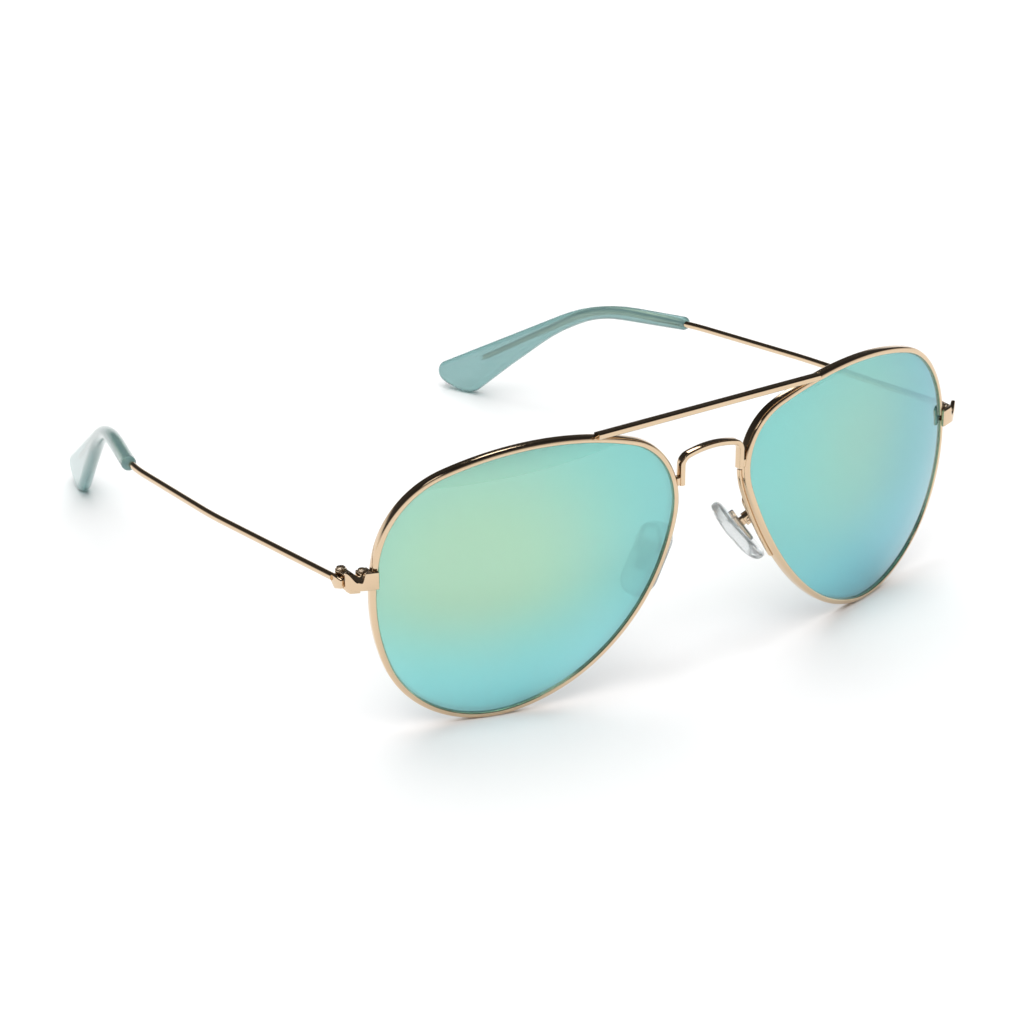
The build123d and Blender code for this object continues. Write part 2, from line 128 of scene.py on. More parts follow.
# %% Table, room and lamps
FLOOR_HALF_SIZE = 4.0
FLOOR_COLOUR = (0.92, 0.92, 0.92, 1)
ROOM_STOPS = [(0.0, 1.0), (0.1, 0.8), (0.24, 0.05), (1.0, 0.02)]
LAMPS = {
    "key": {"strength": 2.3, "spread": 60, "turn": (28, 0, -35), "seen": False},
    "fill": {"strength": 1.7, "spread": 70, "turn": (-22, 18, 0), "seen": False},
    "left_glint": {"strength": 0.12, "spread": 14, "turn": (30, -35, 0), "seen": True},
    "back_glint": {"strength": 0.12, "spread": 12, "turn": (-40, 25, 0), "seen": True},
}


def make_floor():
    """Flat square sheet under the glasses."""
    mesh = bpy.data.meshes.new("table")
    h = FLOOR_HALF_SIZE
    mesh.from_pydata([(-h, -h, 0), (h, -h, 0), (h, h, 0), (-h, h, 0)], [], [(0, 1, 2, 3)])
    material = bpy.data.materials.new("table_sheet")
    material.use_nodes = True
    shader = material.node_tree.nodes["Principled BSDF"]
    shader.inputs["Base Color"].default_value = FLOOR_COLOUR
    shader.inputs["Roughness"].default_value = 0.9
    shader.inputs["Specular IOR Level"].default_value = 0.1
    mesh.materials.append(material)
    floor = bpy.data.objects.new("table", mesh)
    bpy.context.scene.collection.objects.link(floor)


def make_room():
    """World that is pale at the horizon and dark overhead."""
    world = bpy.data.worlds.new("studio")
    world.use_nodes = True
    bpy.context.scene.world = world
    tree = world.node_tree
    direction = add_node(tree, "ShaderNodeTexCoord").outputs["Generated"]
    height = add_node(tree, "ShaderNodeSeparateXYZ")
    feed(tree, height.inputs[0], direction)
    ramp = add_node(tree, "ShaderNodeValToRGB")
    ramp.color_ramp.interpolation = "EASE"
    feed(tree, ramp.inputs[0], height.outputs["Z"])
    elements = ramp.color_ramp.elements
    while len(elements) < len(ROOM_STOPS):
        elements.new(0.5)
    for element, (place, value) in zip(elements, ROOM_STOPS):
        element.position = place
        element.color = (value, value, value, 1)
    feed(tree, tree.nodes["Background"].inputs["Color"], ramp.outputs["Color"])


def make_lamps():
    """Broad sun lamps, soft enough to leave only faint shadows."""
    for name, lamp in LAMPS.items():
        data = bpy.data.lights.new(name, "SUN")
        data.energy = lamp["strength"]
        data.angle = math.radians(lamp["spread"])
        light = bpy.data.objects.new(name, data)
        light.rotation_euler = [math.radians(turn) for turn in lamp["turn"]]
        light.visible_glossy = lamp["seen"]
        bpy.context.scene.collection.objects.link(light)


make_floor()
make_room()
make_lamps()
print("lamps:", ", ".join(LAMPS))

# %% [markdown]
# ## Finishes
# Nothing on real glasses is one flat colour.  Polish varies a little from place to place and the
# plating drifts slightly in tone, so two small shader groups make that drift once, and each finish
# places them with its own values.
# %% Shared groups: polish and tone drift


def make_polish_group():
    """Group that gives a roughness drifting between two values, and a fine height for a bump."""
    tree, given, made = new_group(
        "polish_drift",
        "ShaderNodeTree",
        [
            ("Scale", "NodeSocketFloat", 400.0),
            ("Smoothest", "NodeSocketFloat", 0.05),
            ("Roughest", "NodeSocketFloat", 0.15),
        ],
        [("Roughness", "NodeSocketFloat"), ("Height", "NodeSocketFloat")],
    )
    place = add_node(tree, "ShaderNodeTexCoord").outputs["Object"]
    patches = add_node(tree, "ShaderNodeTexNoise")
    feed(tree, patches.inputs["Vector"], place)
    feed(tree, patches.inputs["Scale"], given.outputs["Scale"])
    feed(tree, patches.inputs["Detail"], 4.0)
    spread = add_node(tree, "ShaderNodeMapRange")
    feed(tree, spread.inputs["Value"], patches.outputs["Fac"])
    feed(tree, spread.inputs["From Min"], 0.3)
    feed(tree, spread.inputs["From Max"], 0.7)
    feed(tree, spread.inputs["To Min"], given.outputs["Smoothest"])
    feed(tree, spread.inputs["To Max"], given.outputs["Roughest"])
    grain = add_node(tree, "ShaderNodeTexNoise")
    feed(tree, grain.inputs["Vector"], place)
    feed(tree, grain.inputs["Scale"], calculate(tree, "MULTIPLY", given.outputs["Scale"], 6.0))
    feed(tree, made.inputs["Roughness"], spread.outputs["Result"])
    feed(tree, made.inputs["Height"], grain.outputs["Fac"])
    return tree


def make_tone_group():
    """Group that drifts softly between two colours over the surface."""
    tree, given, made = new_group(
        "tone_drift",
        "ShaderNodeTree",
        [
            ("Colour", "NodeSocketColor", (0.8, 0.8, 0.8, 1)),
            ("Second colour", "NodeSocketColor", (0.7, 0.7, 0.7, 1)),
            ("Scale", "NodeSocketFloat", 60.0),
        ],
        [("Colour", "NodeSocketColor")],
    )
    place = add_node(tree, "ShaderNodeTexCoord").outputs["Object"]
    patches = add_node(tree, "ShaderNodeTexNoise")
    feed(tree, patches.inputs["Vector"], place)
    feed(tree, patches.inputs["Scale"], given.outputs["Scale"])
    mix = add_node(tree, "ShaderNodeMix", data_type="RGBA")
    feed(tree, mix.inputs["Factor"], patches.outputs["Fac"])
    feed(tree, mix.inputs[6], given.outputs["Colour"])
    feed(tree, mix.inputs[7], given.outputs["Second colour"])
    feed(tree, made.inputs["Colour"], mix.outputs[2])
    return tree


POLISH = make_polish_group()
TONE = make_tone_group()
print("shared groups:", POLISH.name, TONE.name)


# %% A finish from the shared groups
def place_group(tree, group, **values):
    """Puts a shared group into a material, with its inputs set by name."""
    node = add_node(tree, "ShaderNodeGroup", node_tree=group)
    for name, value in values.items():
        feed(tree, node.inputs[name.replace("_", " ")], value)
    return node


def make_finish(name, colours, roughness, tone_scale, polish_scale, bump, plain):
    """Material with drifting tone and polish, and plain values for everything else."""
    material = bpy.data.materials.new(name)
    material.use_nodes = True
    tree = material.node_tree
    shader = tree.nodes["Principled BSDF"]
    for label, value in plain.items():
        shader.inputs[label].default_value = value
    tone = place_group(tree, TONE, Colour=colours[0], Second_colour=colours[1], Scale=tone_scale)
    polish = place_group(tree, POLISH, Scale=polish_scale, Smoothest=roughness[0], Roughest=roughness[1])
    height = add_node(tree, "ShaderNodeBump")
    feed(tree, height.inputs["Height"], polish.outputs["Height"])
    feed(tree, height.inputs["Strength"], bump[0])
    feed(tree, height.inputs["Distance"], bump[1])
    feed(tree, shader.inputs["Base Color"], tone.outputs["Colour"])
    feed(tree, shader.inputs["Roughness"], polish.outputs["Roughness"])
    feed(tree, shader.inputs["Normal"], height.outputs["Normal"])
    return material


# %% Gold, screw metal, acetate and silicone
GOLD = make_finish(
    "polished_champagne_gold",
    colours=((0.73, 0.56, 0.385, 1), (0.69, 0.51, 0.335, 1)),
    roughness=(0.06, 0.15),
    tone_scale=90.0,
    polish_scale=500.0,
    bump=(0.08, 0.00002),
    plain={"Metallic": 1.0},
)
SCREW_METAL = make_finish(
    "turned_screw_metal",
    colours=((0.78, 0.64, 0.48, 1), (0.66, 0.51, 0.36, 1)),
    roughness=(0.14, 0.30),
    tone_scale=900.0,
    polish_scale=1500.0,
    bump=(0.15, 0.00002),
    plain={"Metallic": 1.0},
)
ACETATE = make_finish(
    "translucent_teal_acetate",
    colours=((0.36, 0.58, 0.57, 1), (0.28, 0.51, 0.51, 1)),
    roughness=(0.10, 0.16),
    tone_scale=70.0,
    polish_scale=120.0,
    bump=(0.0, 0.00001),
    plain={
        "Transmission Weight": 0.6,
        "IOR": 1.3,
        "Coat Weight": 0.6,
        "Coat Roughness": 0.08,
    },
)
SILICONE = make_finish(
    "clear_silicone",
    colours=((0.88, 0.90, 0.90, 1), (0.80, 0.83, 0.84, 1)),
    roughness=(0.10, 0.26),
    tone_scale=200.0,
    polish_scale=500.0,
    bump=(0.1, 0.00003),
    plain={"Transmission Weight": 0.85, "IOR": 1.41, "Coat Weight": 0.6, "Coat Roughness": 0.05},
)
print("finishes:", GOLD.name, SCREW_METAL.name, ACETATE.name, SILICONE.name)

# %% [markdown]
# ## Mirrored lens
# The coating on the lens's front is a stack of thin films.  It is green seen square on and near the
# middle, and turns blue towards the rim and at a slant.  Its lower part is lightened by a painted
# reflection of the bright table.  It lets some light through, so what stands behind shows faintly.
# The back is plain tinted glass.
# %% Lens finishes
COATING_MIDDLE = (0.47, 0.73, 0.55, 1)
COATING_EDGE = (0.31, 0.71, 0.67, 1)
COATING_SLANT = (0.19, 0.52, 0.64, 1)
# Painted reflection: a pale turquoise that stands in for the bright table mirrored in the lens's lower part.
COATING_PAINTED_TABLE_REFLECTION = (0.42, 0.92, 0.92, 1)


def make_coating():
    """Mirror coating whose colour follows the lens's own map, with a painted reflection of the table lightening
    its lower part, and turns bluer at a slant.
    """
    material = bpy.data.materials.new("mirror_coating")
    material.use_nodes = True
    tree = material.node_tree
    shader = tree.nodes["Principled BSDF"]
    shader.inputs["Metallic"].default_value = 0.45
    shader.inputs["Transmission Weight"].default_value = 0.75
    shader.inputs["IOR"].default_value = 1.5
    lens_map = add_node(tree, "ShaderNodeUVMap", uv_map="lens")
    offset = add_node(tree, "ShaderNodeVectorMath", operation="DISTANCE")
    feed(tree, offset.inputs[0], lens_map.outputs[0])
    feed(tree, offset.inputs[1], (0.66, 0.58, 0))
    reach = add_node(tree, "ShaderNodeMapRange", interpolation_type="SMOOTHSTEP")
    feed(tree, reach.inputs["Value"], offset.outputs["Value"])
    feed(tree, reach.inputs["From Min"], 0.10)
    feed(tree, reach.inputs["From Max"], 0.66)
    across = add_node(tree, "ShaderNodeMix", data_type="RGBA")
    feed(tree, across.inputs["Factor"], reach.outputs["Result"])
    feed(tree, across.inputs[6], COATING_MIDDLE)
    feed(tree, across.inputs[7], COATING_EDGE)
    map_axes = add_node(tree, "ShaderNodeSeparateXYZ")
    feed(tree, map_axes.inputs[0], lens_map.outputs[0])
    # Painted reflection: towards the bottom of the lens map the colour is blended to a pale turquoise, standing
    # in for the bright table the lens reflects there.
    painted_reflection_share = add_node(tree, "ShaderNodeMapRange", interpolation_type="SMOOTHSTEP")
    feed(tree, painted_reflection_share.inputs["Value"], map_axes.outputs["Y"])
    feed(tree, painted_reflection_share.inputs["From Min"], 0.50)
    feed(tree, painted_reflection_share.inputs["From Max"], 0.0)
    with_painted_reflection = add_node(tree, "ShaderNodeMix", data_type="RGBA")
    feed(tree, with_painted_reflection.inputs["Factor"], painted_reflection_share.outputs["Result"])
    feed(tree, with_painted_reflection.inputs[6], across.outputs[2])
    feed(tree, with_painted_reflection.inputs[7], COATING_PAINTED_TABLE_REFLECTION)
    slant = add_node(tree, "ShaderNodeLayerWeight")
    slant.inputs["Blend"].default_value = 0.5
    amount = add_node(tree, "ShaderNodeMapRange", interpolation_type="SMOOTHSTEP")
    feed(tree, amount.inputs["Value"], slant.outputs["Facing"])
    feed(tree, amount.inputs["From Min"], 0.15)
    feed(tree, amount.inputs["From Max"], 0.70)
    coating = add_node(tree, "ShaderNodeMix", data_type="RGBA")
    feed(tree, coating.inputs["Factor"], amount.outputs["Result"])
    feed(tree, coating.inputs[6], with_painted_reflection.outputs[2])
    feed(tree, coating.inputs[7], COATING_SLANT)
    polish = place_group(tree, POLISH, Scale=60.0, Smoothest=0.01, Roughest=0.03)
    feed(tree, shader.inputs["Base Color"], coating.outputs[2])
    feed(tree, shader.inputs["Roughness"], polish.outputs["Roughness"])
    return material


COATING = make_coating()
LENS_GLASS = make_finish(
    "tinted_lens_back",
    colours=((0.80, 0.95, 0.95, 1), (0.76, 0.93, 0.94, 1)),
    roughness=(0.01, 0.03),
    tone_scale=30.0,
    polish_scale=60.0,
    bump=(0.0, 0.00001),
    plain={"Transmission Weight": 1.0, "IOR": 1.5},
)
print("lens finishes:", COATING.name, LENS_GLASS.name)

# %% [markdown]
# ## Making and placing pieces
# Each piece is drawn once, for the wearer's left.  A copy is mirrored for the right, and its faces
# are turned back outwards.  The place goes into the mesh, so the object itself stays at the origin.
# %% Placing helpers
SHARP_EDGE = math.radians(38)


def place_piece(name, drawn, side, body, nodes):
    """Object in the row frame from a mesh drawn in front millimetres, riding on its body."""
    mesh = drawn.copy()
    mesh.name = name
    mesh.transform(TO_ROW @ SIDES[side])
    if side == "right":
        mesh.flip_normals()
    mesh.shade_smooth()
    mesh.set_sharp_from_angle(angle=SHARP_EDGE)
    piece = bpy.data.objects.new(name, mesh)
    bpy.context.scene.collection.objects.link(piece)
    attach(piece, body)
    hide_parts(*nodes)
    return piece


def place_pair(name, drawn, body, node):
    """The same drawn mesh on both sides; body and node are named without their side."""
    for side in SIDES:
        side_body = body if body == "front" else f"{body}_{side}"
        place_piece(f"{side}_{name}", drawn, side, side_body, [f"{node}_{side}"])
    print(f"{name}: {len(drawn.polygons)} faces each")


# %% Mesh helpers: loft, prism, turned profile
def new_mesh(name, build, *materials):
    """Mesh filled by a function that works on a bmesh, with outward faces."""
    mesh = bpy.data.meshes.new(name)
    shape = bmesh.new()
    build(shape)
    bmesh.ops.recalc_face_normals(shape, faces=shape.faces)
    shape.to_mesh(mesh)
    shape.free()
    for material in materials:
        mesh.materials.append(material)
    return mesh


def loft(shape, rings):
    """Skin over rings of equal point counts, with both ends closed."""
    rows = [[shape.verts.new(point) for point in ring] for ring in rings]
    count = len(rows[0])
    for row, following in zip(rows, rows[1:]):
        for i in range(count):
            j = (i + 1) % count
            shape.faces.new((row[i], row[j], following[j], following[i]))
    shape.faces.new(rows[0])
    shape.faces.new(rows[-1])


def bevelled_prism(shape, points, depth, bevel):
    """Solid over a flat polygon of 3-D points, pushed along a vector, with all edges rounded."""
    push = Vector(depth)
    lower = [shape.verts.new(point) for point in points]
    upper = [shape.verts.new(Vector(point) + push) for point in points]
    faces = [shape.faces.new(lower), shape.faces.new(upper)]
    for i in range(len(points)):
        j = (i + 1) % len(points)
        faces.append(shape.faces.new((lower[i], lower[j], upper[j], upper[i])))
    edges = {edge for face in faces for edge in face.edges}
    bmesh.ops.recalc_face_normals(shape, faces=faces)
    bmesh.ops.bevel(shape, geom=list(edges), offset=bevel, segments=3, profile=0.5, affect="EDGES")


def rounded_block(shape, low, high, bevel, place=None):
    """Box between two corners with rounded edges, moved by a matrix if one is given."""
    (x0, y0, z0), (x1, y1, z1) = low, high
    corners = [Vector((x0, y0, z0)), Vector((x1, y0, z0)), Vector((x1, y1, z0)), Vector((x0, y1, z0))]
    push = Vector((0, 0, z1 - z0))
    if place is not None:
        corners = [place @ corner for corner in corners]
        push = place.to_3x3() @ push
    bevelled_prism(shape, corners, push, bevel)


def turned(shape, profile, place, segments=40):
    """Solid of revolution about its own Z; the profile is (radius, height) from pole to pole."""
    rings = []
    for radius, height in profile:
        ring = []
        for i in range(segments):
            angle = 2 * math.pi * i / segments
            ring.append(place @ Vector((radius * math.cos(angle), radius * math.sin(angle), height)))
        rings.append(ring)
    loft(shape, rings)


def barrel_profile(radius, low, high, rounding):
    """Profile of a short bar with rounded rims, open at small flat ends."""
    points = [(radius * 0.3, low)]
    for i in range(5):
        angle = math.pi / 2 * i / 4
        points.append((radius - rounding * (1 - math.sin(angle)), low + rounding * (1 - math.cos(angle))))
    for i in range(5):
        angle = math.pi / 2 * (1 - i / 4)
        points.append((radius - rounding * (1 - math.sin(angle)), high - rounding * (1 - math.cos(angle))))
    points.append((radius * 0.3, high))
    return points


print("helpers ready")

# %% [markdown]
# ## Swept wires
# Rims, brow bar, bridge, temple wires and pad arms are all wire bent along a path, so one Geometry
# Nodes tree makes them: it takes a curve and sweeps a rounded section along it.  The rims and pad
# feet then lie on the lens's ball, which a second tree does by lifting every point onto it.
# %% Tree that sweeps a rounded section


def make_sweep_tree():
    """Rounded bar along the curve it is given."""
    tree, given, made = new_group(
        "swept_wire",
        "GeometryNodeTree",
        [
            ("Path", "NodeSocketGeometry", None),
            ("Along facing", "NodeSocketFloat", 1.0),
            ("Across", "NodeSocketFloat", 1.0),
            ("Corner radius", "NodeSocketFloat", 0.2),
            ("Corner steps", "NodeSocketInt", 4),
            ("Facing", "NodeSocketVector", (0.0, 0.0, 1.0)),
            ("Finish", "NodeSocketMaterial", None),
        ],
        [("Wire", "NodeSocketGeometry")],
    )
    turn = add_node(tree, "GeometryNodeSetCurveNormal", mode="FREE")
    feed(tree, turn.inputs["Curve"], given.outputs["Path"])
    feed(tree, turn.inputs["Normal"], given.outputs["Facing"])
    section = add_node(tree, "GeometryNodeCurvePrimitiveQuadrilateral")
    feed(tree, section.inputs["Width"], given.outputs["Along facing"])
    feed(tree, section.inputs["Height"], given.outputs["Across"])
    corners = add_node(tree, "GeometryNodeFilletCurve", mode="POLY")
    feed(tree, corners.inputs["Curve"], section.outputs["Curve"])
    feed(tree, corners.inputs["Radius"], given.outputs["Corner radius"])
    feed(tree, corners.inputs["Count"], given.outputs["Corner steps"])
    sweep = add_node(tree, "GeometryNodeCurveToMesh")
    feed(tree, sweep.inputs["Curve"], turn.outputs["Curve"])
    feed(tree, sweep.inputs["Profile Curve"], corners.outputs["Curve"])
    feed(tree, sweep.inputs["Fill Caps"], True)
    realize = add_node(tree, "GeometryNodeRealizeInstances")
    feed(tree, realize.inputs[0], sweep.outputs["Mesh"])
    finish = add_node(tree, "GeometryNodeSetMaterial")
    feed(tree, finish.inputs["Geometry"], realize.outputs[0])
    feed(tree, finish.inputs["Material"], given.outputs["Finish"])
    feed(tree, made.inputs["Wire"], finish.outputs["Geometry"])
    return tree


def make_bend_tree():
    """Lifts flat geometry onto a ball that touches its plane from behind."""
    tree, given, made = new_group(
        "bend_onto_ball",
        "GeometryNodeTree",
        [
            ("Flat", "NodeSocketGeometry", None),
            ("Ball radius", "NodeSocketFloat", 80.0),
            ("Finish", "NodeSocketMaterial", None),
        ],
        [("Bent", "NodeSocketGeometry")],
    )
    place = add_node(tree, "ShaderNodeSeparateXYZ")
    feed(tree, place.inputs[0], add_node(tree, "GeometryNodeInputPosition").outputs[0])
    x, y, z = place.outputs
    radius = calculate(tree, "ADD", given.outputs["Ball radius"], z)
    square = calculate(tree, "MULTIPLY", radius, radius)
    square = calculate(tree, "SUBTRACT", square, calculate(tree, "MULTIPLY", x, x))
    square = calculate(tree, "SUBTRACT", square, calculate(tree, "MULTIPLY", y, y))
    lift = calculate(tree, "SUBTRACT", calculate(tree, "SQRT", square), given.outputs["Ball radius"])
    lifted = add_node(tree, "ShaderNodeCombineXYZ")
    for socket, value in zip(lifted.inputs, (x, y, lift)):
        feed(tree, socket, value)
    move = add_node(tree, "GeometryNodeSetPosition")
    feed(tree, move.inputs["Geometry"], given.outputs["Flat"])
    feed(tree, move.inputs["Position"], lifted.outputs[0])
    realize = add_node(tree, "GeometryNodeRealizeInstances")
    feed(tree, realize.inputs[0], move.outputs["Geometry"])
    finish = add_node(tree, "GeometryNodeSetMaterial")
    feed(tree, finish.inputs["Geometry"], realize.outputs[0])
    feed(tree, finish.inputs["Material"], given.outputs["Finish"])
    feed(tree, made.inputs["Bent"], finish.outputs["Geometry"])
    return tree


SWEEP = make_sweep_tree()
BEND = make_bend_tree()
print("trees:", SWEEP.name, BEND.name)


# %% Running a tree once, as a plain mesh
def run_tree(data, tree, **values):
    """Mesh that a tree makes from a curve or mesh, with its inputs set by name."""
    source = bpy.data.objects.new("source", data)
    bpy.context.scene.collection.objects.link(source)
    modifier = source.modifiers.new(tree.name, "NODES")
    modifier.node_group = tree
    sockets = {item.name: item.identifier for item in tree.interface.items_tree if item.in_out == "INPUT"}
    for name, value in values.items():
        modifier[sockets[name.replace("_", " ")]] = value
    bpy.context.view_layer.update()
    evaluated = source.evaluated_get(bpy.context.evaluated_depsgraph_get())
    mesh = bpy.data.meshes.new_from_object(evaluated)
    source.modifiers.remove(modifier)
    bpy.data.objects.remove(source)
    return mesh


def path_curve(points):
    """Open curve through a list of points."""
    curve = bpy.data.curves.new("path", "CURVE")
    curve.dimensions = "3D"
    spline = curve.splines.new("POLY")
    spline.points.add(len(points) - 1)
    for spot, point in zip(spline.points, points):
        spot.co = (*point, 1)
    return curve


def swept(points, along, across, corner, facing, finish, steps=4):
    """Rounded bar along points, as a mesh."""
    return run_tree(
        path_curve(points),
        SWEEP,
        Along_facing=along,
        Across=across,
        Corner_radius=corner,
        Corner_steps=steps,
        Facing=facing,
        Finish=finish,
    )


def rounded_route(corners, radii, degrees=2.0):
    """Points of a route whose inner corners are arcs of the given radii."""
    corners = [Vector(corner) for corner in corners]
    points = [corners[0]]
    for before, corner, after, radius in zip(corners, corners[1:], corners[2:], radii):
        arriving = (corner - before).normalized()
        leaving = (after - corner).normalized()
        turn = arriving.angle(leaving)
        start = corner - arriving * radius * math.tan(turn / 2)
        inward = (leaving - arriving * arriving.dot(leaving)).normalized()
        steps = max(2, math.ceil(math.degrees(turn) / degrees))
        for i in range(steps + 1):
            angle = turn * i / steps
            points.append(start + arriving * radius * math.sin(angle) + inward * radius * (1 - math.cos(angle)))
    points.append(corners[-1])
    return points


print("sweeping helpers ready")

# %% [markdown]
# ## Lens outline
# The teardrop is seven arcs that run smoothly into each other, as a pattern maker draws it.  Each
# arc has how far it turns and its radius; the last two radii follow, because the loop must close.
# Growing every radius by the same amount gives the parallel outlines that rims and pad feet need.
# %% Outline of arcs
LENS_CENTRE_X = 39.5
WRAP_ANGLE = math.radians(13.2)
LENS_RADIUS = 80.8
OUTLINE_START = Vector((26.1, 6.9))
OUTLINE_HEADING = 101.7
OUTLINE_TURNS = [58.7, 39.8, 84.3, 37.7, 24.1, 81.9]
OUTLINE_RADII = [18.7, 53.2, 12.2, 47.7, 37.0]
OUTLINE_STEP = 0.75
LENS_PLACE = Matrix.Translation((LENS_CENTRE_X, 0, 0)) @ Matrix(
    (
        (math.cos(WRAP_ANGLE), 0, math.sin(WRAP_ANGLE), 0),
        (math.sin(WRAP_ANGLE), 0, -math.cos(WRAP_ANGLE), 0),
        (0, 1, 0, 0),
        (0, 0, 0, 1),
    )
)


def outward(heading):
    """Outward direction at a heading in degrees, for a loop drawn anticlockwise."""
    return Vector((math.sin(math.radians(heading)), -math.cos(math.radians(heading))))


def outline_arcs():
    """Arcs of the loop as (centre, radius, first heading, last heading)."""
    turns = OUTLINE_TURNS + [360 - sum(OUTLINE_TURNS)]
    headings = [OUTLINE_HEADING]
    for turn in turns:
        headings.append(headings[-1] + turn)
    steps = [outward(after) - outward(before) for before, after in zip(headings, headings[1:])]
    opening = Vector((0, 0))
    for radius, step in zip(OUTLINE_RADII, steps):
        opening += radius * step
    first, second = steps[-2:]
    scale = first.cross(second)
    radii = OUTLINE_RADII + [-opening.cross(second) / scale, opening.cross(first) / scale]
    arcs = []
    point = OUTLINE_START
    for radius, before, after in zip(radii, headings, headings[1:]):
        centre = point - outward(before) * radius
        arcs.append((centre, radius, before, after))
        point = centre + outward(after) * radius
    return arcs


def outline_points(grow):
    """Points round the loop, grown outward by a set amount."""
    points = []
    for centre, radius, before, after in outline_arcs():
        steps = math.ceil((after - before) / OUTLINE_STEP * max(1, radius / 30))
        for i in range(steps):
            heading = before + (after - before) * i / steps
            points.append(centre + outward(heading) * (radius + grow))
    return points


lens_outline = outline_points(0)
lens_width = max(p.x for p in lens_outline) - min(p.x for p in lens_outline)
lens_height = max(p.y for p in lens_outline) - min(p.y for p in lens_outline)
print(f"lens {lens_width:.1f} x {lens_height:.1f} mm")

# %% [markdown]
# ## Lenses
# A lens is a slice of a ball.  Rings of the outline shrink towards the middle on the front and on
# the back, a small bevel joins them at the edge, and the bending tree lifts them onto the ball.
# %% Lens mesh
LENS_SET_BACK = 0.5
LENS_THICKNESS = 1.2
LENS_TUCK = 0.3
LENS_EDGE_BEVEL = 0.12
LENS_RING_SCALES = [0.985, 0.96, 0.93, 0.89, 0.84, 0.78, 0.71, 0.63, 0.54, 0.44, 0.33, 0.22, 0.12, 0.05]


def build_lens(shape):
    """Flat lens with its front faces first, before it is bent."""
    front, back = -LENS_SET_BACK, -LENS_SET_BACK - LENS_THICKNESS
    edge = outline_points(LENS_TUCK)
    shy = outline_points(LENS_TUCK - LENS_EDGE_BEVEL)
    rings = [[(p.x * k, p.y * k, front) for p in shy] for k in reversed(LENS_RING_SCALES)]
    rings.append([(p.x, p.y, front) for p in shy])
    rings.append([(p.x, p.y, front - LENS_EDGE_BEVEL) for p in edge])
    rings.append([(p.x, p.y, back + LENS_EDGE_BEVEL) for p in edge])
    rings.append([(p.x, p.y, back) for p in shy])
    rings += [[(p.x * k, p.y * k, back) for p in shy] for k in LENS_RING_SCALES]
    loft(shape, rings)
    for face in shape.faces:
        face.material_index = 0 if face.calc_center_median().z > front - 0.01 else 1
    caps = [face for face in shape.faces if len(face.verts) > 4]
    bmesh.ops.poke(shape, faces=caps)


def make_lens():
    """Bent lens with its own map: across to the temple, and up."""
    flat = new_mesh("lens", build_lens, COATING, LENS_GLASS)
    bent = run_tree(flat, BEND, Ball_radius=LENS_RADIUS)
    bent.materials.clear()
    bent.materials.append(COATING)
    bent.materials.append(LENS_GLASS)
    lens_map = bent.uv_layers.new(name="lens")
    for loop in bent.loops:
        place = bent.vertices[loop.vertex_index].co
        lens_map.data[loop.index].uv = (0.5 + place.x / lens_width, 0.5 + place.y / lens_height)
    bent.transform(LENS_PLACE)
    return bent


place_pair("lens", make_lens(), "front", "lens")

# %% [markdown]
# ## Rims
# The rim is a wire with a rounded section, bent round the lens and open at the temple, where a
# small block and screw pull it shut.
# %% Rim mesh
RIM_WIDTH = 1.07
RIM_DEPTH = 1.7
RIM_CORNER = 0.33
RIM_SPLIT_HEIGHT = 3.3
RIM_SPLIT_GAP = 0.5


def rim_path():
    """Open path along the middle of the rim, from above the split round to below it."""
    loop = outline_points(RIM_WIDTH / 2)
    half_gap = RIM_SPLIT_GAP / 2
    tail = [p for p in loop[len(loop) // 2 :] if p.x > 0 and p.y > RIM_SPLIT_HEIGHT + half_gap]
    body = [p for p in loop if p not in tail]
    body = [p for p in body if not (p.x > 0 and abs(p.y - RIM_SPLIT_HEIGHT) < half_gap)]
    return [(p.x, p.y, -RIM_DEPTH / 2) for p in tail + body]


def make_rim():
    """Rim wire, bent onto the lens's ball."""
    flat = swept(rim_path(), RIM_DEPTH, RIM_WIDTH, RIM_CORNER, (0, 0, 1), GOLD)
    bent = run_tree(flat, BEND, Ball_radius=LENS_RADIUS, Finish=GOLD)
    bent.transform(LENS_PLACE)
    return bent


place_pair("rim", make_rim(), "front", "rim")

# %% [markdown]
# ## Brow bar and bridge
# Both are flat wire.  The bar lies straight across the tops of the rims.  The bridge is an upside
# down U between them, soldered at its feet, so small blocks of solder fill the gap to the rim.
# %% Brow bar
BROW_HALF_LENGTH = 24.8
BROW_BOTTOM = 23.7
BROW_HEIGHT = 1.15
BAR_FRONT_Y = 0.2
BAR_DEPTH = 1.7
BAR_CORNER = 0.3
bar_y = BAR_FRONT_Y + BAR_DEPTH / 2
bar_z = BROW_BOTTOM + BROW_HEIGHT / 2
brow_bar = swept(
    [(-BROW_HALF_LENGTH, bar_y, bar_z), (0, bar_y, bar_z), (BROW_HALF_LENGTH, bar_y, bar_z)],
    BAR_DEPTH,
    BROW_HEIGHT,
    BAR_CORNER,
    (0, 1, 0),
    GOLD,
)
place_piece("crossing_brow_bar", brow_bar, "left", "front", ["brow_bar"])
print("brow bar:", len(brow_bar.polygons), "faces")

# %% Bridge with its solder
BRIDGE_FRONT_Y = -0.5
BRIDGE_LEG_X = 6.65
BRIDGE_LEG_BOTTOM = 10.8
BRIDGE_SHOULDER_Z = 16.0
BRIDGE_CREST_Z = 17.6
BRIDGE_WIDTH = 1.0
BRIDGE_BENDS = [1.9, 20.0, 1.9]
SOLDER_HEIGHT = 1.7
SOLDER_OUTER_X = 7.8
SOLDER_BEVEL = 0.28


def joined(*meshes):
    """One mesh from several, with their finishes kept."""
    shape = bmesh.new()
    for mesh in meshes:
        shape.from_mesh(mesh)
    whole = meshes[0].copy()
    shape.to_mesh(whole)
    shape.free()
    return whole


